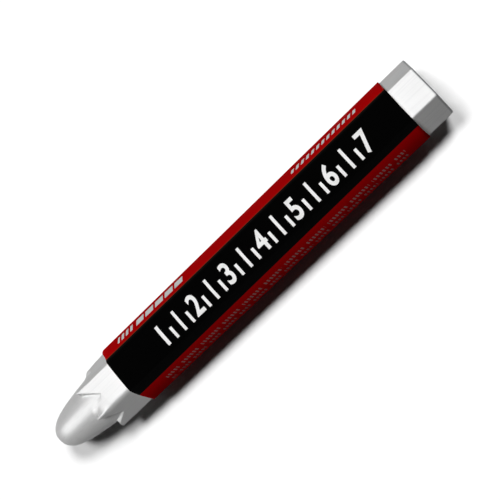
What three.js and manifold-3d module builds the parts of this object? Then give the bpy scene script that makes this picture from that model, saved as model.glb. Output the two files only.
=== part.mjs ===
// A hexagonal wax marking crayon in a paper wrapper. Millimetres, +Z up.
// The crayon lies on one flat of its wrapper: +X runs from the bare tail end to the nose,
// the origin is on the surface it lies on, under the middle of its length.

import * as THREE from 'three';
import { mergeVertices } from 'three/addons/utils/BufferGeometryUtils.js';
import Module from 'manifold-3d';

const wasm = await Module();
wasm.setup();

// Wax stick, driving dimensions
const ACROSS_FLATS = 13.4;
const CORNER_RADIUS = 0.3;
const TAIL_EDGE_RADIUS = 0.25;
const BARE_TAIL = 6.9;            // wax that shows behind the wrapper
const WRAPPER_LENGTH = 84.15;
const BARE_FRONT = 5.8;           // wax from the wrapper to where the nose breaks through the flats
const NOSE_LENGTH = 17.45;        // from the ends of the flats to the tip
const NOSE_STEP = 0.2;            // how far the nose lies below the flats where they end
const NOSE_TAPER = 8.3;           // degrees to the axis, where the nose starts
const NOSE_FLANK = 10.6;          // how far the flank holds that direction
const NOSE_BLUNTNESS = 5;         // how far the rounding of the tip holds square to the axis
const POINTED_RUN = 4.7;          // how far a pointed shoulder runs on past the ends of the flats
const POINTED_WIDTH = 0.7;
const POINTED_TAPER = 0.5;        // the last stretch of a shoulder, where its sides turn in
const BLUNT_RUN = 3.6;            // blunt shoulders, on the corners at the mould's parting line
const BLUNT_WIDTH = 2.8;
const BLUNT_TAPER = 0.4;
const WORN_RUN = 2.8;             // the same on the one blunt shoulder that is rubbed down
const WORN_TAPER = 0.9;
const WEAR_DEPTH = 0.55;          // what has been rubbed off that corner
const WEAR_ROUNDING = 1.6;        // over this length at its end, and this deep

// Paper wrapper, driving dimensions
const PAPER_THICKNESS = 0.15;
const PASTE_THICKNESS = 0.03;
const PASTE_CLEARANCE = 0.01;     // on each face of a paste film
const TURNS = 2;
const CROWN = 0.35;               // how far the paper bows out on the flats where nothing holds it
const START_FROM_CORNER = 1.6;    // from the side corner to the edge where the sheet starts
const CLIMB_LENGTH = 1.1;         // the sheet climbs over its own starting edge in this length
const LAP = 3.4;                  // overlap at the end of the last turn
const PASTE_MARGIN = 0.3;         // from a paste strip to the paper edge beside it
const PASTE_END_MARGIN = 2;       // from a paste strip to the ends of the wrapper

// Smoothness of the curved stretches
const CORNER_STEPS = 4;
const TAIL_EDGE_STEPS = 4;
const NOSE_SEGMENTS = 72;
const NOSE_STEPS = 18;
const SHOULDER_STEPS = 4;
const CROWN_STEPS = 6;

const SIDES = 6;
const SIDE_ANGLE = (2 * Math.PI) / SIDES;
const HALF_SIDE = SIDE_ANGLE / 2;
const apothem = ACROSS_FLATS / 2;
const cornerCentre = (apothem - CORNER_RADIUS) / Math.cos(HALF_SIDE);
const cornerReach = cornerCentre + CORNER_RADIUS;
const flatHalf = (apothem - CORNER_RADIUS) * Math.tan(HALF_SIDE);
const turnGap = PASTE_THICKNESS + 2 * PASTE_CLEARANCE;
const turnPitch = turnGap + PAPER_THICKNESS;
const sheetStart = START_FROM_CORNER - flatHalf;
const flatsEnd = BARE_TAIL + WRAPPER_LENGTH + BARE_FRONT;
const length = flatsEnd + NOSE_LENGTH;
const axisHeight = apothem + TURNS * turnPitch;

// The flats in their order round the axis, from the +Y side corner over the top. A corner
// has the number of the flat that follows it.
const FLATS = ['front', 'top', 'back', 'seam', 'resting', 'underside'];
const seamFlat = FLATS.indexOf('seam');
const restingFlat = FLATS.indexOf('resting');
const frontSideCorner = FLATS.indexOf('front');
const backSideCorner = seamFlat;

// A point in the section, from its distance along the outward normal and along the flat
function sectionPoint(normalAngle, out, along) {
  return new THREE.Vector2(
    out * Math.cos(normalAngle) - along * Math.sin(normalAngle),
    out * Math.sin(normalAngle) + along * Math.cos(normalAngle),
  );
}

function flatAngle(flat) {
  return (flat + 0.5) * SIDE_ANGLE;
}

function cornerAngle(corner) {
  return corner * SIDE_ANGLE;
}

// The rounded hexagon, its flats moved in by inset. Its corner arcs keep their centres.
function hexagonRing(x, inset = 0) {
  const ring = [];
  const radius = CORNER_RADIUS - inset;
  for (let corner = 0; corner < SIDES; corner += 1) {
    for (let step = 0; step <= CORNER_STEPS; step += 1) {
      const turn = cornerAngle(corner) + HALF_SIDE * ((2 * step) / CORNER_STEPS - 1);
      ring.push(new THREE.Vector3(
        x,
        cornerCentre * Math.cos(cornerAngle(corner)) + radius * Math.cos(turn),
        cornerCentre * Math.sin(cornerAngle(corner)) + radius * Math.sin(turn),
      ));
    }
  }
  return ring;
}

// A closed skin over convex rings of equal count that follow one another along +X
function loft(rings) {
  const count = rings[0].length;
  const positions = [];
  const index = [];
  rings.flat().forEach((point) => positions.push(point.x, point.y, point.z));
  for (let ring = 0; ring < rings.length - 1; ring += 1) {
    for (let i = 0; i < count; i += 1) {
      const a = ring * count + i;
      const b = ring * count + ((i + 1) % count);
      index.push(a, b, b + count, a, b + count, a + count);
    }
  }
  const last = (rings.length - 1) * count;
  for (let i = 1; i < count - 1; i += 1) {
    index.push(0, i + 1, i);
    index.push(last, last + i, last + i + 1);
  }
  const geometry = new THREE.BufferGeometry();
  geometry.setAttribute('position', new THREE.Float32BufferAttribute(positions, 3));
  geometry.setIndex(index);
  return geometry;
}

function toSolid(geometry) {
  const bare = geometry.clone();
  bare.deleteAttribute('normal');
  bare.deleteAttribute('uv');
  const merged = mergeVertices(bare, 1e-5);
  return new wasm.Manifold(new wasm.Mesh({
    numProp: 3,
    vertProperties: new Float32Array(merged.attributes.position.array),
    triVerts: new Uint32Array(merged.index.array),
  }));
}

function toGeometry(solid) {
  const mesh = solid.getMesh();
  const geometry = new THREE.BufferGeometry();
  geometry.setAttribute('position', new THREE.BufferAttribute(mesh.vertProperties, 3));
  geometry.setIndex(new THREE.BufferAttribute(mesh.triVerts, 1));
  geometry.computeVertexNormals();
  return geometry;
}

// Hexagonal body of the stick, its tail end with a rounded rim
function bodyGeometry() {
  const rings = [];
  for (let step = 0; step <= TAIL_EDGE_STEPS; step += 1) {
    const turn = (Math.PI / 2) * (step / TAIL_EDGE_STEPS);
    rings.push(hexagonRing(
      TAIL_EDGE_RADIUS * (1 - Math.sin(turn)),
      TAIL_EDGE_RADIUS * (1 - Math.cos(turn)),
    ));
  }
  rings.reverse();
  rings.push(hexagonRing(flatsEnd));
  return loft(rings);
}

// Round nose, turned about the axis: a flank that starts at a slight taper and rounds off
function noseGeometry() {
  const taper = THREE.MathUtils.degToRad(NOSE_TAPER);
  const rootRadius = apothem - NOSE_STEP;
  const flank = new THREE.CubicBezierCurve(
    new THREE.Vector2(rootRadius, flatsEnd),
    new THREE.Vector2(
      rootRadius - NOSE_FLANK * Math.sin(taper),
      flatsEnd + NOSE_FLANK * Math.cos(taper),
    ),
    new THREE.Vector2(NOSE_BLUNTNESS, length),
    new THREE.Vector2(0, length),
  );
  const profile = [
    new THREE.Vector2(0, flatsEnd - POINTED_RUN),
    new THREE.Vector2(rootRadius, flatsEnd - POINTED_RUN),
    ...flank.getPoints(NOSE_STEPS),
  ];
  return new THREE.LatheGeometry(profile, NOSE_SEGMENTS).rotateZ(-Math.PI / 2);
}

// The shoulder that each corner of the hexagon leaves beside the nose
function shoulderSizes(corner) {
  if (corner === backSideCorner) {
    return { run: WORN_RUN, width: BLUNT_WIDTH, taper: WORN_TAPER };
  }
  if (corner === frontSideCorner) {
    return { run: BLUNT_RUN, width: BLUNT_WIDTH, taper: BLUNT_TAPER };
  }
  return { run: POINTED_RUN, width: POINTED_WIDTH, taper: POINTED_TAPER };
}

// Its outline, seen square to the corner. It starts as wide as the corner's two half flats
// and narrows towards the tip, so that the flats end in pointed arches.
function shoulderShape({ run, width, taper }) {
  const rootHalf = apothem * Math.sin(HALF_SIDE);
  const end = flatsEnd + run;
  const shape = new THREE.Shape();
  shape.moveTo(flatsEnd - taper, -rootHalf);
  shape.lineTo(flatsEnd, -rootHalf);
  shape.lineTo(end - taper, -width / 2);
  shape.quadraticCurveTo(end, -width / 2, end, 0);
  shape.quadraticCurveTo(end, width / 2, end - taper, width / 2);
  shape.lineTo(flatsEnd, rootHalf);
  shape.lineTo(flatsEnd - taper, rootHalf);
  shape.closePath();
  return shape;
}

function extrude(shape, depth) {
  return new THREE.ExtrudeGeometry(shape, {
    depth,
    bevelEnabled: false,
    curveSegments: SHOULDER_STEPS,
  });
}

// The outline runs from the axis out through the corner, and is cut to the hexagon
function shoulderSolid(corner) {
  const sizes = shoulderSizes(corner);
  const hexagon = loft([
    hexagonRing(flatsEnd - 2 * sizes.taper),
    hexagonRing(flatsEnd + 2 * sizes.run),
  ]);
  const blank = extrude(shoulderShape(sizes), 2 * cornerReach);
  blank.rotateX(cornerAngle(corner) - Math.PI / 2);
  return toSolid(hexagon).intersect(toSolid(blank));
}

// What handling has rubbed off the far side corner in front of the wrapper
function wearSolid() {
  const start = BARE_TAIL + WRAPPER_LENGTH;
  const end = flatsEnd + WORN_RUN;
  const outside = cornerReach + WEAR_DEPTH;
  const worn = cornerReach - WEAR_DEPTH;
  const shape = new THREE.Shape();
  shape.moveTo(start, cornerReach);
  shape.quadraticCurveTo((start + end) / 2, worn, end - WEAR_ROUNDING, worn);
  shape.quadraticCurveTo(end, worn, end, worn - WEAR_ROUNDING / 2);
  shape.lineTo(end + WEAR_ROUNDING, worn - WEAR_ROUNDING / 2);
  shape.lineTo(end + WEAR_ROUNDING, outside);
  shape.lineTo(start, outside);
  shape.closePath();
  const blank = extrude(shape, 2 * cornerReach).translate(0, 0, -cornerReach);
  return toSolid(blank.rotateX(cornerAngle(backSideCorner)));
}

function stickGeometry() {
  let stick = toSolid(bodyGeometry()).add(toSolid(noseGeometry()));
  for (let corner = 0; corner < SIDES; corner += 1) {
    stick = stick.add(shoulderSolid(corner));
  }
  return toGeometry(stick.subtract(wearSolid()));
}

// The wrapper is one sheet. Its route round the stick is a list of stations, each with the
// direction out of the stick, a place along that flat and the gap from the wax to the sheet.
function sheetRoute() {
  const route = [];
  const crown = (flat) => (flat === seamFlat || flat === restingFlat ? 0 : CROWN);
  const addFlat = (flat, gap, from, to) => {
    const steps = crown(flat) > 0 ? CROWN_STEPS : 1;
    for (let step = 0; step <= steps; step += 1) {
      const along = THREE.MathUtils.lerp(from, to, step / steps);
      const bow = crown(flat) * (1 - (along / flatHalf) ** 2);
      const lean = (2 * crown(flat) * along) / flatHalf ** 2;
      route.push({ place: sectionPoint(flatAngle(flat), apothem + gap + bow, along),
        outward: flatAngle(flat) + Math.atan(lean) });
    }
  };
  const addCorner = (corner, gap) => {
    const centre = sectionPoint(cornerAngle(corner), cornerCentre, 0);
    for (let step = 1; step < CORNER_STEPS; step += 1) {
      const turn = cornerAngle(corner) + HALF_SIDE * ((2 * step) / CORNER_STEPS - 1);
      const reach = CORNER_RADIUS + gap;
      route.push({ place: new THREE.Vector2(
        centre.x + reach * Math.cos(turn),
        centre.y + reach * Math.sin(turn),
      ), outward: turn });
    }
  };
  for (let turn = 0; turn < TURNS; turn += 1) {
    const gap = turnGap + turn * turnPitch;
    addFlat(seamFlat, gap, sheetStart, flatHalf);
    for (let next = 1; next < SIDES; next += 1) {
      addCorner(seamFlat + next, gap);
      addFlat((seamFlat + next) % SIDES, gap, -flatHalf, flatHalf);
    }
    addCorner(seamFlat, gap);
    addFlat(seamFlat, gap, -flatHalf, sheetStart - CLIMB_LENGTH);
  }
  addFlat(seamFlat, turnGap + TURNS * turnPitch, sheetStart, sheetStart + LAP);
  return route;
}

function extrudeAlongX(shape, from, depth) {
  const geometry = new THREE.ExtrudeGeometry(shape, { depth, bevelEnabled: false, curveSegments: 1 });
  geometry.rotateY(Math.PI / 2);
  geometry.rotateX(Math.PI / 2);
  return geometry.translate(from, 0, 0);
}

function wrapperGeometry() {
  const route = sheetRoute();
  const outer = route.map(({ place, outward }) => new THREE.Vector2(
    place.x + PAPER_THICKNESS * Math.cos(outward),
    place.y + PAPER_THICKNESS * Math.sin(outward),
  ));
  const inner = route.map(({ place }) => place).reverse();
  return extrudeAlongX(new THREE.Shape([...outer, ...inner]), BARE_TAIL, WRAPPER_LENGTH);
}

// A dried paste film on the seam flat, between two distances along it and on top of one surface
function pasteGeometry(surfaceGap, from, to) {
  const bottom = apothem + surfaceGap + PASTE_CLEARANCE;
  const top = bottom + PASTE_THICKNESS;
  const outline = [
    sectionPoint(flatAngle(seamFlat), bottom, from),
    sectionPoint(flatAngle(seamFlat), top, from),
    sectionPoint(flatAngle(seamFlat), top, to),
    sectionPoint(flatAngle(seamFlat), bottom, to),
  ];
  return extrudeAlongX(
    new THREE.Shape(outline),
    BARE_TAIL + PASTE_END_MARGIN,
    WRAPPER_LENGTH - 2 * PASTE_END_MARGIN,
  );
}

const wax = new THREE.MeshStandardMaterial({ color: 0xf2f2f0, roughness: 0.5, metalness: 0 });
const paper = new THREE.MeshStandardMaterial({ color: 0xd40810, roughness: 0.6, metalness: 0 });
const paste = new THREE.MeshStandardMaterial({ color: 0xe8dcc0, roughness: 0.8, metalness: 0 });

const crayonStick = new THREE.Mesh(stickGeometry(), wax);
crayonStick.name = 'crayon_stick';

const paperWrapper = new THREE.Mesh(wrapperGeometry(), paper);
paperWrapper.name = 'paper_wrapper';

const startPaste = new THREE.Mesh(
  pasteGeometry(0, sheetStart + PASTE_MARGIN, sheetStart + LAP - PASTE_MARGIN),
  paste,
);
startPaste.name = 'start_paste_strip';

const lapPaste = new THREE.Mesh(
  pasteGeometry(TURNS * turnPitch, sheetStart + PASTE_MARGIN, sheetStart + LAP - PASTE_MARGIN),
  paste,
);
lapPaste.name = 'lap_paste_strip';

const crayon = new THREE.Group();
crayon.add(crayonStick, paperWrapper, startPaste, lapPaste);
crayon.position.set(-length / 2, 0, axisHeight);

const group = new THREE.Group();
group.add(crayon);

export default group;
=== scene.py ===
# A hexagonal white marking crayon in its printed paper wrapper, lying on a white table.

import math

import bmesh
import bpy
from mathutils import Matrix, Vector


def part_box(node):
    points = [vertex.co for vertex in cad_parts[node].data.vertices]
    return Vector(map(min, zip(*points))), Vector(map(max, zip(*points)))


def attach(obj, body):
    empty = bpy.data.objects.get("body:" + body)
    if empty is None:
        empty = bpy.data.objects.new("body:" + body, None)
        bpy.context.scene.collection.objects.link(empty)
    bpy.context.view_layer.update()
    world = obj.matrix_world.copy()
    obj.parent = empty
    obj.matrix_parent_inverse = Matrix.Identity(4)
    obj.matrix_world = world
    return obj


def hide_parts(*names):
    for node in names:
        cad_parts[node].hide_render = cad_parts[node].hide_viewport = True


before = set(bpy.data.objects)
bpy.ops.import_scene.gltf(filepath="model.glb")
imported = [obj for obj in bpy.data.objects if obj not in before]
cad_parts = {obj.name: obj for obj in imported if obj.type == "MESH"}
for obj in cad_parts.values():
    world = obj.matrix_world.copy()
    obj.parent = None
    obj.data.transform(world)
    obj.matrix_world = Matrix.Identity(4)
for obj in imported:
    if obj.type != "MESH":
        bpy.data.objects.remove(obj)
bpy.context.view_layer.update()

MM = 0.001


# The table and the light. A plain white table top under two lamps that throw soft shadows. The
# crayon has a lamp that models it, a weak one for the light that comes back out of the wax, and
# two soft boxes that the glossy wax and ink mirror.
TABLE_SIZE = 12.0
TABLE_DROP = 0.02 * MM      # so that the paper doesn't share a plane with it
TABLE_SEEN = 0.98           # what the camera sees of the table
TABLE_BOUNCE = 0.03         # what the crayon gets back from it
ROOM_LIGHT = 0.008
SHAPE_LAMP_FROM = Vector((0.2, -0.25, 0.95))
SHAPE_LAMP_STRENGTH = 1.5
SHAPE_LAMP_WIDTH = math.radians(16)
WAX_LAMP_FROM = Vector((0.0, 0.8, 0.6))
WAX_LAMP_STRENGTH = 0.14
SOFT_BOXES = (              # place, what it faces, length, width, power
    (Vector((-10, -37, 264)) * MM, Vector((-40, 0, 14)) * MM, 360 * MM, 180 * MM, 6.5),
    (Vector((285, -35, 215)) * MM, Vector((48, 0, 10)) * MM, 170 * MM, 240 * MM, 3.3),
)
NEAREST_SEEN = 10 * MM
TABLE_LAMP_WIDTH = math.radians(18)
TABLE_LAMPS = (             # strength, where from
    (2.0, Vector((-0.38, -0.3, 0.8))),
    (1.8, Vector((0.16, -0.32, 0.93))),
)
CAMERA_PLACE = Vector((-53.55, 42.1, 236.1)) * MM
CAMERA_AIM = Vector((-5.45, -1.2, 7.1)) * MM
PICTURE_UP = Vector((-0.681, -0.732, 0.0))
CAMERA_LENS = 78.5


class Signal:
    """A socket of a material's nodes, so that sums on it can be written as sums."""

    def __init__(self, finish, socket):
        self.finish = finish
        self.socket = socket

    def math(self, operation, *operands):
        operands = dict(enumerate(operands))
        return self.finish.add("ShaderNodeMath", {"operation": operation}, operands)

    def __add__(self, other):
        return self.math("ADD", self, other)

    def __sub__(self, other):
        return self.math("SUBTRACT", self, other)

    def __rsub__(self, other):
        return self.math("SUBTRACT", other, self)

    def __mul__(self, other):
        return self.math("MULTIPLY", self, other)

    def __truediv__(self, other):
        return self.math("DIVIDE", self, other)

    def __gt__(self, other):
        return self.math("GREATER_THAN", self, other)

    def __lt__(self, other):
        return self.math("LESS_THAN", self, other)

    __radd__ = __add__
    __rmul__ = __mul__


class Finish:
    """The nodes of one material or of the world."""

    def __init__(self, owner):
        owner.use_nodes = True
        self.tree = owner.node_tree
        self.tree.nodes.clear()

    def add(self, kind, settings, inputs, output=0):
        node = self.tree.nodes.new(kind)
        for name, value in settings.items():
            setattr(node, name, value)
        for name, value in inputs.items():
            if isinstance(value, Signal):
                self.tree.links.new(value.socket, node.inputs[name])
            else:
                node.inputs[name].default_value = value
        return Signal(self, node.outputs[output]) if node.outputs else None

    def number(self, factor, first, second):
        sockets = {0: factor, 2: first, 3: second}
        return self.add("ShaderNodeMix", {"data_type": "FLOAT"}, sockets)

    def colour(self, factor, first, second):
        sockets = {0: factor, 6: first, 7: second}
        return self.add("ShaderNodeMix", {"data_type": "RGBA"}, sockets, 2)

    def seen(self):
        """1 on the rays that show a background: the camera's, mirrored and passed through."""
        total = self.add("ShaderNodeLightPath", {}, {}, "Is Camera Ray")
        for ray in ("Is Glossy Ray", "Is Transmission Ray"):
            total = total.math("MAXIMUM", total, self.add("ShaderNodeLightPath", {}, {}, ray))
        return total

    def place(self):
        return self.add("ShaderNodeTexCoord", {}, {}, "Object")

    def along(self, axis):
        return self.add("ShaderNodeSeparateXYZ", {}, {"Vector": self.place()}, axis)

    def grain(self, spacing, detail=3.0):
        """Noise whose spots lie these distances apart along X, Y and Z."""
        scale = tuple(1 / distance for distance in spacing)
        place = self.add("ShaderNodeMapping", {}, {"Vector": self.place(), "Scale": scale})
        inputs = {"Vector": place, "Scale": 1.0, "Detail": detail}
        return self.add("ShaderNodeTexNoise", {}, inputs)

    def ramp(self, signal, low, high):
        """0 up to low, 1 from high on."""
        inputs = {"Value": signal, "From Min": low, "From Max": high}
        return self.add("ShaderNodeMapRange", {}, inputs)


def add_object(name, data):
    piece = bpy.data.objects.new(name, data)
    bpy.context.scene.collection.objects.link(piece)
    return piece


def mesh_from(shape, name):
    mesh = bpy.data.meshes.new(name)
    shape.to_mesh(mesh)
    shape.free()
    return mesh


table_shape = bmesh.new()
bmesh.ops.create_grid(
    table_shape, x_segments=1, y_segments=1, size=TABLE_SIZE / 2,
    matrix=Matrix.Translation((0, 0, -TABLE_DROP)),
)
table = add_object("table", mesh_from(table_shape, "table"))
table_white = bpy.data.materials.new("table_white")
finish = Finish(table_white)
table_tone = finish.number(finish.seen(), TABLE_BOUNCE, TABLE_SEEN)
table_colour = finish.add(
    "ShaderNodeCombineColor", {}, {0: table_tone, 1: table_tone, 2: table_tone},
)
finish.add("ShaderNodeOutputMaterial", {}, {
    "Surface": finish.add("ShaderNodeBsdfDiffuse", {}, {"Color": table_colour}),
})
table.data.materials.append(table_white)

room = bpy.data.worlds.new("room")
bpy.context.scene.world = room
finish = Finish(room)
finish.add("ShaderNodeOutputWorld", {}, {
    "Surface": finish.add("ShaderNodeBackground", {}, {
        "Color": (1, 1, 1, 1),
        "Strength": finish.number(finish.seen(), ROOM_LIGHT, 1.0),
    }),
})

crayon_pieces = bpy.data.collections.new("crayon_pieces")
glossy_pieces = bpy.data.collections.new("glossy_pieces")
table_pieces = bpy.data.collections.new("table_pieces")
table_pieces.objects.link(table)


def add_sun(name, strength, width, direction, lit_pieces):
    lamp = bpy.data.lights.new(name, "SUN")
    lamp.energy = strength
    lamp.angle = width
    lamp_object = add_object(name, lamp)
    lamp_object.rotation_euler = direction.to_track_quat("Z", "Y").to_euler()
    lamp_object.light_linking.receiver_collection = lit_pieces
    return lamp_object


shape_lamp = add_sun(
    "shape_lamp", SHAPE_LAMP_STRENGTH, SHAPE_LAMP_WIDTH, SHAPE_LAMP_FROM, crayon_pieces,
)
shape_lamp.visible_glossy = False
add_sun("wax_lamp", WAX_LAMP_STRENGTH, SHAPE_LAMP_WIDTH, WAX_LAMP_FROM, glossy_pieces)
for strength, lamp_from in TABLE_LAMPS:
    add_sun("table_lamp", strength, TABLE_LAMP_WIDTH, lamp_from, table_pieces)
for place, target, length, width, power in SOFT_BOXES:
    soft_box = bpy.data.lights.new("soft_box", "AREA")
    soft_box.shape = "RECTANGLE"
    soft_box.size = length
    soft_box.size_y = width
    soft_box.energy = power
    soft_box_object = add_object("soft_box", soft_box)
    outward = (place - target).normalized()
    sideways = outward.cross(Vector((1, 0, 0))).normalized()
    soft_box_object.matrix_world = (
        Matrix.Translation(place)
        @ Matrix((sideways.cross(outward), sideways, outward)).transposed().to_4x4()
    )
    soft_box_object.visible_diffuse = False
    soft_box_object.light_linking.receiver_collection = glossy_pieces

view = (CAMERA_AIM - CAMERA_PLACE).normalized()
across = view.cross(PICTURE_UP).normalized()
camera = bpy.data.cameras.new("camera")
camera.lens = CAMERA_LENS
camera.clip_start = NEAREST_SEEN
camera.clip_end = 2 * TABLE_SIZE
camera_object = add_object("camera", camera)
camera_turn = Matrix((across, across.cross(view), -view)).transposed().to_4x4()
camera_object.matrix_world = Matrix.Translation(CAMERA_PLACE) @ camera_turn
bpy.context.scene.camera = camera_object
bpy.context.scene.view_settings.view_transform = "Standard"


# The stick. One moulding of hard white wax: a hexagonal shank that the wrapper covers but
# for its ends, a square tail with a crisp rim, and a round nose between six worn shoulders.
WAX_CELL = 0.15 * MM            # how finely the moulding is resolved
WAX_SOFTENING = 2
PLAIN_SHANK = (3 * MM, 24.5 * MM)   # alike from this far past the tail to this before the tip,
SHANK_CELL_STRETCH = 12             # so its cells are this many times as long as wide
SAME_VERT = 0.001 * MM
ON_THE_CUT = 0.0001 * MM
WAX_WHITE = (0.875, 0.875, 0.87, 1)
WAX_SHADE = (0.79, 0.79, 0.79, 1)
# the dark tone mixed in near the tail end; along the rim it is painted shade
WAX_DARKENED = (0.3, 0.3, 0.31, 1)
TAIL_DARKENING, TAIL_DARKENING_FADES = 0.12, (2.15 * MM, 9.15 * MM)     # how much darker the wax turns near the tail, and where that fades
# painted shade: the tail's rim is darkened in colour where its rounded edge turns from the light
RIM_PAINTED_SHADE, RIM_PAINTED_SHADE_FADES = 0.7, (0.25 * MM, 0.6 * MM)
DRAW_MARKS = (18 * MM, 0.35 * MM, 0.35 * MM)    # fine marks along the moulding
DRAW_MARK_SHARE, DRAW_MARK_RANGE = 0.7, (0.5, 0.72)
DRAW_MARK_DEPTH = 0.02 * MM
DRAW_MARK_BUMP = 0.35
CLOUDS = (9 * MM, 2.5 * MM, 2.5 * MM)
CLOUD_SHARE, CLOUD_RANGE = 0.3, (0.45, 0.75)
CLOUD_ROUGHNESS = 0.08
WAX_ROUGHNESS = 0.33
WAX_GLOSS = 0.26
WAX_CLEARNESS = 0.12
LIGHT_DEPTH = 0.5 * MM          # how far light goes into the wax
RUBBED_REACH = 2.8 * MM         # the edge that the fingers rub is soft to this far on each side
RUBBED_REACH_AT_NOSE = 0.5 * MM
RUBBED_SHIFT = 0.5 * MM         # and a little more so down the lower face
DOWN_LOWER_FACE = Vector((0, 0.5, -0.866))
RUBBED_UNDER_PAPER = 0.5 * MM   # it starts this far under the wrapper
RUBBED_LENGTH = 8.5 * MM
RUBBED_PASSES = 100
TAIL_CORNER_REACH = 0.7 * MM
TAIL_CORNER_PASSES = 5
TAIL_RIM_WIDTH = 0.6 * MM
TAIL_RIM_PASSES = 3
WORN_SHOULDER = Vector((42.3, -7.3, 7.1)) * MM
WORN_SHOULDER_REACH = 2.8 * MM
WORN_SHOULDER_PASSES = 70
WORN_SHOULDER_BLEND = 1.3 * WORN_SHOULDER_REACH
WORN_SHOULDER_BLEND_PASSES = 14
MELTED_ALONG = (39.7 * MM, 44.6 * MM)   # where the top flat runs into the nose with no step
MELTED_ACROSS = (0.3 * MM, 3.5 * MM)
MELTED_PASSES = 250


def stretch_shank(shape, start, end, factor):
    """What lies between start and end is stretched, and what follows moves along."""
    for vert in shape.verts:
        vert.co.x += (factor - 1) * (min(max(vert.co.x, start), end) - start)


def soften(shape, verts, passes):
    for _ in range(passes):
        bmesh.ops.smooth_vert(
            shape, verts=verts, factor=0.5, use_axis_x=True, use_axis_y=True, use_axis_z=True,
        )


wrapper_low, wrapper_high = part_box("paper_wrapper")
stick_low, stick_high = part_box("crayon_stick")
apothem = (stick_high.z - stick_low.z) / 2
axis_height = (stick_high.z + stick_low.z) / 2
shank_start = stick_low.x + PLAIN_SHANK[0]
shank_end = stick_high.x - PLAIN_SHANK[1]
short_shank_end = shank_start + (shank_end - shank_start) / SHANK_CELL_STRETCH

stick_shape = bmesh.new()
stick_shape.from_mesh(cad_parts["crayon_stick"].data)
bmesh.ops.remove_doubles(stick_shape, verts=stick_shape.verts, dist=SAME_VERT)
for cut_at in (shank_start, shank_end):
    bmesh.ops.bisect_plane(
        stick_shape, geom=stick_shape.verts[:] + stick_shape.edges[:] + stick_shape.faces[:],
        dist=ON_THE_CUT, plane_co=(cut_at, 0, 0), plane_no=(1, 0, 0),
    )
stretch_shank(stick_shape, shank_start, shank_end, 1 / SHANK_CELL_STRETCH)
stick = add_object("wax_stick", mesh_from(stick_shape, "wax_stick"))
cells = stick.modifiers.new("cells", "REMESH")
cells.mode = "VOXEL"
cells.voxel_size = WAX_CELL
cells.use_smooth_shade = True
softening = stick.modifiers.new("softening", "SMOOTH")
softening.factor = 0.5
softening.iterations = WAX_SOFTENING
moulded = stick.evaluated_get(bpy.context.evaluated_depsgraph_get())
stick.data = bpy.data.meshes.new_from_object(moulded)
stick.modifiers.clear()

handled = bmesh.new()
handled.from_mesh(stick.data)
stretch_shank(handled, shank_start, short_shank_end, SHANK_CELL_STRETCH)
top_edge = Vector((0, apothem * math.tan(math.radians(30)), stick_high.z))
rubbed_from = wrapper_high.x - RUBBED_UNDER_PAPER


def is_rubbed(place):
    """The rubbed zone narrows towards the nose, and its middle climbs back to the edge."""
    share = (place.x - rubbed_from) / RUBBED_LENGTH
    middle = top_edge + (1 - share) * RUBBED_SHIFT * DOWN_LOWER_FACE
    reach = RUBBED_REACH + share * (RUBBED_REACH_AT_NOSE - RUBBED_REACH)
    return 0 < share < 1 and (place - middle).yz.length < reach


soften(handled, [vert for vert in handled.verts if is_rubbed(vert.co)], RUBBED_PASSES)
soften(handled, [
    vert for vert in handled.verts
    if MELTED_ALONG[0] < vert.co.x < MELTED_ALONG[1]
    and MELTED_ACROSS[0] < vert.co.y < MELTED_ACROSS[1]
    and vert.co.z > axis_height
], MELTED_PASSES)
soften(handled, [
    vert for vert in handled.verts if (vert.co - WORN_SHOULDER).length < WORN_SHOULDER_REACH
], WORN_SHOULDER_PASSES)
soften(handled, [
    vert for vert in handled.verts if (vert.co - WORN_SHOULDER).length < WORN_SHOULDER_BLEND
], WORN_SHOULDER_BLEND_PASSES)
soften(handled, [
    vert for vert in handled.verts if vert.co.x < stick_low.x + TAIL_RIM_WIDTH
], TAIL_RIM_PASSES)
tail_corner = Vector((stick_low.x, stick_high.y, axis_height))
soften(handled, [
    vert for vert in handled.verts if (vert.co - tail_corner).length < TAIL_CORNER_REACH
], TAIL_CORNER_PASSES)
handled.to_mesh(stick.data)
handled.free()
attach(stick, "root")
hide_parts("crayon_stick")
crayon_pieces.objects.link(stick)
glossy_pieces.objects.link(stick)

wax = bpy.data.materials.new("white_wax")
finish = Finish(wax)
draw_marks = finish.grain(DRAW_MARKS, detail=4.0)
clouding = finish.grain(CLOUDS)
streak = (
    finish.ramp(draw_marks, *DRAW_MARK_RANGE) * DRAW_MARK_SHARE
    + finish.ramp(clouding, *CLOUD_RANGE) * CLOUD_SHARE
)
# The wax darkens towards the tail end, and a band along the tail's rim carries painted shade.
past_tail_darkening, past_rim_shade = (
    finish.ramp(finish.along("X"), stick_low.x + start, stick_low.x + end)
    for start, end in (TAIL_DARKENING_FADES, RIM_PAINTED_SHADE_FADES)
)
tail_darkening_and_rim_shade = TAIL_DARKENING * (1 - past_tail_darkening) + RIM_PAINTED_SHADE * (1 - past_rim_shade)
finish.add("ShaderNodeOutputMaterial", {}, {
    "Surface": finish.add("ShaderNodeBsdfPrincipled", {}, {
        "Base Color": finish.colour(
            tail_darkening_and_rim_shade, finish.colour(streak, WAX_WHITE, WAX_SHADE), WAX_DARKENED,
        ),
        "Roughness": WAX_ROUGHNESS + CLOUD_ROUGHNESS * clouding,
        "Specular IOR Level": WAX_GLOSS,
        "Subsurface Weight": WAX_CLEARNESS,
        "Subsurface Radius": (1.0, 1.0, 1.0),
        "Subsurface Scale": LIGHT_DEPTH,
        "Normal": finish.add("ShaderNodeBump", {}, {
            "Strength": DRAW_MARK_BUMP, "Distance": DRAW_MARK_DEPTH, "Height": draw_marks,
        }),
    }),
})
stick.data.materials.clear()
stick.data.materials.append(wax)


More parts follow.
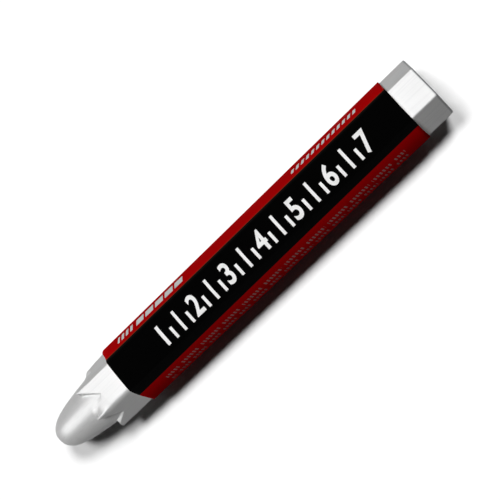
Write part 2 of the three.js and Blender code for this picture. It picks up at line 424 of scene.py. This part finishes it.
# The wrapper. One sheet of thin coated paper, printed red with a black panel over the top
# face, rolled tight round the shank for two turns and pasted down along its last edge.
PAPER = 0.15 * MM
TURNS = 2
CORNER_RADIUS = 0.3 * MM
CORNER_STEPS = 8
FLAT_STEPS = 12
CLIMB_STEPS = 5
LENGTH_STEPS = 97
CROWNS = (0.4 * MM, 0.3 * MM, 0.3 * MM, 0, 0, 0.3 * MM)     # how far each flat bows out
TOP, SEAM = 1, 3                # flats; 0 is the lower one in the picture, 4 rests on the table
START_FROM_CORNER = 1.6 * MM
CLIMB = 1.1 * MM
LAP = 3.4 * MM
CUT_WANDER = 0.07 * MM          # how far the cut ends stray from a straight cut
CUT_WAVES = ((1, 3.1, 0), (0.5, 1.1, 1))    # height, length in mm and start of each wave
INNER_TURN_SHORT = 0.05 * MM    # the inner turn ends this far inside the outer one
FRONT_CUT = (                   # mm round the crayon from the top's middle, mm towards the nose
    (-24, 0.6), (-11.6, 1.6), (-3.9, 0.1), (3.9, 0.3), (11.6, -0.3), (24, 0.6),
)
SIXTH = math.radians(60)
RED_INK = (0.8, 0.0015, 0.003, 1)
RED_THIN = tuple(0.8 * part for part in RED_INK[:3]) + (1,)
RED_THIN_SHARE = 0.25
BLACK_INK = (0.0006, 0.0006, 0.0006, 1)
WHITE_INK = (0.86, 0.86, 0.85, 1)
WHITE_COAT_ROUGHNESS = 0.2      # the white is a thick ink with a skin
PINK_INK = (0.75, 0.36, 0.35, 1)
PINK_COVER = 0.9
BARE_PAPER = (0.74, 0.7, 0.64, 1)
BARE_PAPER_DARK = (0.62, 0.56, 0.5, 1)
BARE_FIBRES = (0.5 * MM, 0.15 * MM, 0.15 * MM)
FIBRES = (0.9 * MM, 0.25 * MM, 0.25 * MM)
FIBRE_DEPTH = 0.015 * MM
FIBRE_BUMP = 0.25
INK_CLOUDS = (12 * MM, 6 * MM, 6 * MM)
PANEL_BACK = 4.9 * MM           # from the middle of the top flat to the panel's far border
PANEL_FRONT = 6.6 * MM
PANEL_RIM = 0.2 * MM            # where black overprints red
RIM_INK = (0.24, 0.06, 0.02, 1)
RIM_COVER = 0.8
PANEL_SKEW = 0.009              # the sheet went on a little askew
INK_EDGE = 0.06 * MM
SMALL_BARS_ALONG = (-43.0 * MM, -24.0 * MM)     # bars that stand where lettering would
SMALL_BARS_ROUND = (-8.8 * MM, -7.0 * MM)
SMALL_BAR, SMALL_BAR_SHARE, SMALL_BAR_SLANT = 1.5 * MM, 0.55, 0.3
STRIPES_ALONG, STRIPE, STRIPE_SHARE = (25.0 * MM, 30.0 * MM), 1.4 * MM, 0.55
BLOCKS_ALONG, BLOCK, BLOCK_SHARE = (9.0 * MM, 24.0 * MM), 3.1 * MM, 0.8
BOLD_BARS_ROUND = (-9.5 * MM, -6.7 * MM)
FINE_ROWS_ALONG = (-44.5 * MM, 27.0 * MM)
FINE_ROWS = (                   # place round the crayon, run of a word, how much of it is printed
    ((8.5 * MM, 9.5 * MM), 6.4 * MM, 0.84),
    ((10.4 * MM, 11.3 * MM), 4.7 * MM, 0.8),
)
FINE_DASH, FINE_DASH_SHARE, FINE_SLANT = 0.85 * MM, 0.5, 0.25

turn_pitch = (stick_low.z - wrapper_low.z) / TURNS
flat_half = (apothem - CORNER_RADIUS) * math.tan(SIXTH / 2)
corner_centre = (apothem - CORNER_RADIUS) / math.cos(SIXTH / 2)
sheet_start = START_FROM_CORNER - flat_half


def section_point(angle, out, along):
    return Vector((
        wrapper_low.x,
        out * math.cos(angle) - along * math.sin(angle),
        axis_height + out * math.sin(angle) + along * math.cos(angle),
    ))


def flat_points(flat, gap, start, end):
    for step in range(FLAT_STEPS + 1):
        along = start + (end - start) * step / FLAT_STEPS
        bow = CROWNS[flat] * (1 - (along / flat_half) ** 2)
        yield section_point((flat + 0.5) * SIXTH, apothem + gap + bow, along)


def corner_points(corner, gap):
    centre = section_point(corner * SIXTH, corner_centre, 0)
    for step in range(1, CORNER_STEPS):
        turn = corner * SIXTH + SIXTH * (step / CORNER_STEPS - 0.5)
        reach = CORNER_RADIUS + gap
        yield centre + Vector((0, reach * math.cos(turn), reach * math.sin(turn)))


def climb_points(gap):
    """The sheet rises on to its own first edge."""
    for step in range(1, CLIMB_STEPS):
        share = step / CLIMB_STEPS
        rise = turn_pitch * share * share * (3 - 2 * share)
        along = sheet_start - CLIMB * (1 - share)
        yield section_point((SEAM + 0.5) * SIXTH, apothem + gap + rise, along)


route = []
print_middle = 0
for turn in range(TURNS):
    gap = turn_pitch - PAPER + turn * turn_pitch
    route += flat_points(SEAM, gap, sheet_start, flat_half)
    for flat in range(SEAM + 1, SEAM + 6):
        route += corner_points(flat, gap)
        if flat % 6 == TOP:
            print_middle = len(route) + FLAT_STEPS // 2
        route += flat_points(flat % 6, gap, -flat_half, flat_half)
    route += corner_points(SEAM, gap)
    route += flat_points(SEAM, gap, -flat_half, sheet_start - CLIMB)
    route += climb_points(gap)
route += flat_points(SEAM, turn_pitch - PAPER + TURNS * turn_pitch, sheet_start, sheet_start + LAP)

runs = [0]
for last_point, point in zip(route, route[1:]):
    runs.append(runs[-1] + (point - last_point).length)
sheet = bmesh.new()
print_place = sheet.verts.layers.float.new("print_place")
rows = []
for step in range(LENGTH_STEPS + 1):
    shift = Vector(((wrapper_high.x - wrapper_low.x) * step / LENGTH_STEPS, 0, 0))
    rows.append([sheet.verts.new(point + shift) for point in route])
    for vert, run in zip(rows[-1], runs):
        vert[print_place] = runs[print_middle] - run
for row, next_row in zip(rows, rows[1:]):
    for corners in zip(row, row[1:], next_row[1:], next_row):   # this order faces out
        sheet.faces.new(corners)
full_turn = 2 * FRONT_CUT[-1][0] * MM
highest_wave = sum(height for height, _, _ in CUT_WAVES)


def front_cut(around):
    """How far the front end of the sheet stands out of square, at this place round the crayon."""
    for (start, start_out), (end, end_out) in zip(FRONT_CUT, FRONT_CUT[1:]):
        if around <= end:
            share = (1 - math.cos(math.pi * (around - start) / (end - start))) / 2
            return (start_out + share * (end_out - start_out)) * MM


for vert in sheet.verts:
    around = ((vert[print_place] + full_turn / 2) % full_turn - full_turn / 2) / MM
    wave = sum(
        height * math.sin(around / wave_length + start) for height, wave_length, start in CUT_WAVES
    )
    inset = CUT_WANDER * (1 + wave / highest_wave)
    if vert[print_place] > full_turn / 2:
        inset += INNER_TURN_SHORT
    if vert.co.x < wrapper_low.x + PAPER:
        vert.co.x += inset
    elif vert.co.x > wrapper_high.x - PAPER:
        vert.co.x += front_cut(around) - inset
for face in sheet.faces:
    face.smooth = True
wrapper = add_object("wrapper", mesh_from(sheet, "wrapper"))
wall = wrapper.modifiers.new("wall", "SOLIDIFY")
wall.thickness = PAPER
wall.offset = 1
wall.use_even_offset = True
wall.material_offset = 1
wall.material_offset_rim = 1
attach(wrapper, "root")
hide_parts("paper_wrapper")
crayon_pieces.objects.link(wrapper)


def dashes(finish, along, period, share):
    """Bars that repeat along a line and fill this share of it."""
    return finish.add("ShaderNodeMath", {"operation": "FRACT"}, {0: along / period}) < share


def span(signal, low, high):
    return (signal > low) * (signal < high)


printed = bpy.data.materials.new("printed_paper")
finish = Finish(printed)
across_print = finish.add("ShaderNodeAttribute", {"attribute_name": "print_place"}, {}, "Fac")
along_print = finish.along("X")
front_border = across_print - along_print * PANEL_SKEW
panel = finish.ramp(across_print, -PANEL_BACK, INK_EDGE - PANEL_BACK) * (
    1 - finish.ramp(front_border, PANEL_FRONT, PANEL_FRONT + INK_EDGE)
)
fibre = finish.grain(FIBRES, detail=5.0)
ink_cloud = finish.grain(INK_CLOUDS)

small_slanted = along_print - SMALL_BAR_SLANT * across_print
small_bars = (
    span(along_print, *SMALL_BARS_ALONG)
    * span(across_print, *SMALL_BARS_ROUND)
    * dashes(finish, small_slanted, SMALL_BAR, SMALL_BAR_SHARE)
)
stripes = span(along_print, *STRIPES_ALONG) * dashes(finish, along_print, STRIPE, STRIPE_SHARE)
blocks = span(along_print, *BLOCKS_ALONG) * dashes(finish, along_print, BLOCK, BLOCK_SHARE)
bold_bars = span(across_print, *BOLD_BARS_ROUND) * (stripes + blocks)
slanted = along_print + FINE_SLANT * across_print
words = (
    span(across_print, *row) * dashes(finish, slanted, run_of_word, share)
    for row, run_of_word, share in FINE_ROWS
)
fine_rows = (
    span(along_print, *FINE_ROWS_ALONG)
    * sum(words)
    * dashes(finish, slanted, FINE_DASH, FINE_DASH_SHARE)
)
red = finish.colour(ink_cloud * RED_THIN_SHARE, RED_INK, RED_THIN)
inked = finish.colour(panel, red, BLACK_INK)
panel_rim = span(across_print, -PANEL_BACK - PANEL_RIM, INK_EDGE - PANEL_BACK)
inked = finish.colour(panel_rim * RIM_COVER, inked, RIM_INK)
inked = finish.colour(small_bars + bold_bars, inked, WHITE_INK)
inked = finish.colour(fine_rows * PINK_COVER, inked, PINK_INK)
finish.add("ShaderNodeOutputMaterial", {}, {
    "Surface": finish.add("ShaderNodeBsdfPrincipled", {}, {
        "Base Color": inked,
        "Roughness": 0.7 + 0.2 * fibre,
        "Specular IOR Level": 0.02,
        "Coat Weight": small_bars + bold_bars,
        "Coat Roughness": WHITE_COAT_ROUGHNESS,
        "Normal": finish.add("ShaderNodeBump", {}, {
            "Strength": FIBRE_BUMP, "Distance": FIBRE_DEPTH, "Height": fibre,
        }),
    }),
})
wrapper.data.materials.append(printed)

bare_paper = bpy.data.materials.new("bare_paper")
finish = Finish(bare_paper)
fibre = finish.grain(BARE_FIBRES, detail=5.0)
finish.add("ShaderNodeOutputMaterial", {}, {
    "Surface": finish.add("ShaderNodeBsdfPrincipled", {}, {
        "Base Color": finish.colour(fibre, BARE_PAPER, BARE_PAPER_DARK),
        "Roughness": 0.85,
    }),
})
wrapper.data.materials.append(bare_paper)


# The printed scale. White ink on the black panel: a plain centimetre scale with a numeral
# at each centimetre and short bars at the quarters, printed with the rest of the sheet.
NUMERALS = 7
NUMERAL_HEIGHT = 5.1 * MM
HEIGHT_IN_FONT = 0.73           # a numeral's height as a share of the font's size
NUMERAL_STEPS = 8
NUMERAL_WEIGHT = 0.15 * MM      # drawn round the outline, for a bold face
NUMERAL_WIDTH = 0.75            # the face is a condensed one
NUMERAL_PITCH = 10 * MM
FIRST_NUMERAL = 20 * MM         # the scale starts near the nose and reads towards the tail
SCALE_MIDDLE = 0.4 * MM
BAR_WIDTH = 0.7 * MM
HALF_BAR, QUARTER_BAR = 5.2 * MM, 2.9 * MM
SHARPEST_MITRE = 0.35           # corners sharper than this are cut back
SAME_CORNER = 0.03 * MM
INK_FILM = 0.012 * MM
INK_THIN, INK_THIN_RANGE = (0.7, 0.7, 0.7, 1), (0.55, 0.8)
SLICE, SLICES = 0.3 * MM, 8     # cuts on each side, so that the film bends with the paper


def embolden(shape, weight):
    """The outlines move outwards, with mitred corners."""
    outward = {vert: [] for vert in shape.verts}
    for edge in shape.edges:
        if edge.is_boundary:
            middle = (edge.verts[0].co + edge.verts[1].co) / 2
            across = (edge.verts[1].co - edge.verts[0].co).cross(Vector((0, 0, 1))).normalized()
            if across.dot(edge.link_faces[0].calc_center_median() - middle) > 0:
                across.negate()
            for vert in edge.verts:
                outward[vert].append(across)
    for vert, (first, second) in outward.items():
        vert.co += weight * (first + second) / max(1 + first.dot(second), SHARPEST_MITRE)


ink = bmesh.new()
for number in range(NUMERALS):
    letter = bpy.data.curves.new("numeral", "FONT")
    letter.body = str(number + 1)
    letter.align_x = "CENTER"
    letter.size = NUMERAL_HEIGHT / HEIGHT_IN_FONT
    letter.resolution_u = NUMERAL_STEPS
    lettering = add_object("numeral", letter)
    drawn = lettering.evaluated_get(bpy.context.evaluated_depsgraph_get())
    outline = bpy.data.meshes.new_from_object(drawn)
    bpy.data.objects.remove(lettering)
    condensed = Matrix.Diagonal((NUMERAL_WIDTH, 1, 1, 1))
    outline.transform(Matrix.Translation((number * NUMERAL_PITCH, 0, 0)) @ condensed)
    ink.from_mesh(outline)
bmesh.ops.remove_doubles(ink, verts=ink.verts, dist=SAME_CORNER)
embolden(ink, NUMERAL_WEIGHT)
lowest = min(vert.co.y for vert in ink.verts)
highest = max(vert.co.y for vert in ink.verts)
for number in range(NUMERALS - 1):
    for quarter, height in ((1, QUARTER_BAR), (2, HALF_BAR), (3, QUARTER_BAR)):
        place = Vector(((number + quarter / 4) * NUMERAL_PITCH, lowest + height / 2, 0))
        size = Matrix.Diagonal((BAR_WIDTH, height, 1, 1))
        bmesh.ops.create_grid(
            ink, x_segments=1, y_segments=1, size=0.5, matrix=Matrix.Translation(place) @ size,
        )
half_turn = Matrix.Rotation(math.pi, 4, "Z")
to_middle = Matrix.Translation((0, -(lowest + highest) / 2, 0))
to_panel = Matrix.Translation((FIRST_NUMERAL, SCALE_MIDDLE, 0))
bmesh.ops.transform(ink, matrix=to_panel @ half_turn @ to_middle, verts=ink.verts)
for cut in range(-SLICES, SLICES + 1):
    bmesh.ops.bisect_plane(
        ink, geom=ink.verts[:] + ink.edges[:] + ink.faces[:],
        plane_co=(0, SCALE_MIDDLE + cut * SLICE, 0), plane_no=(0, 1, 0),
    )
paper_top = axis_height + apothem + TURNS * turn_pitch
for vert in ink.verts:
    vert.co.z = paper_top + CROWNS[TOP] * (1 - (vert.co.y / flat_half) ** 2) + INK_FILM
scale = add_object("scale_print", mesh_from(ink, "scale_print"))
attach(scale, "root")
crayon_pieces.objects.link(scale)
glossy_pieces.objects.link(scale)

white_ink = bpy.data.materials.new("white_ink")
finish = Finish(white_ink)
fibre = finish.grain(FIBRES, detail=5.0)
finish.add("ShaderNodeOutputMaterial", {}, {
    "Surface": finish.add("ShaderNodeBsdfPrincipled", {}, {
        "Base Color": finish.colour(finish.ramp(fibre, *INK_THIN_RANGE), WHITE_INK, INK_THIN),
        "Roughness": 0.35 + 0.1 * fibre,
        "Specular IOR Level": 0.2,
    }),
})
scale.data.materials.append(white_ink)


# The paste. Two films of dried starch paste, one under the sheet's first edge and one under
# its last. Brushed on, so uneven in tone, and seen only end on, deep between the turns.
PASTE_DRY = (0.72, 0.64, 0.48, 1)
PASTE_THICK = (0.5, 0.42, 0.28, 1)
BRUSH_MARKS = (3 * MM, 0.4 * MM, 0.4 * MM)

paste = bpy.data.materials.new("dried_paste")
finish = Finish(paste)
brushing = finish.grain(BRUSH_MARKS, detail=4.0)
finish.add("ShaderNodeOutputMaterial", {}, {
    "Surface": finish.add("ShaderNodeBsdfPrincipled", {}, {
        "Base Color": finish.colour(brushing, PASTE_DRY, PASTE_THICK),
        "Roughness": 0.6 + 0.3 * brushing,
    }),
})
for name in ("start_paste_strip", "lap_paste_strip"):
    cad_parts[name].material_slots[0].material = paste
    crayon_pieces.objects.link(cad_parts[name])
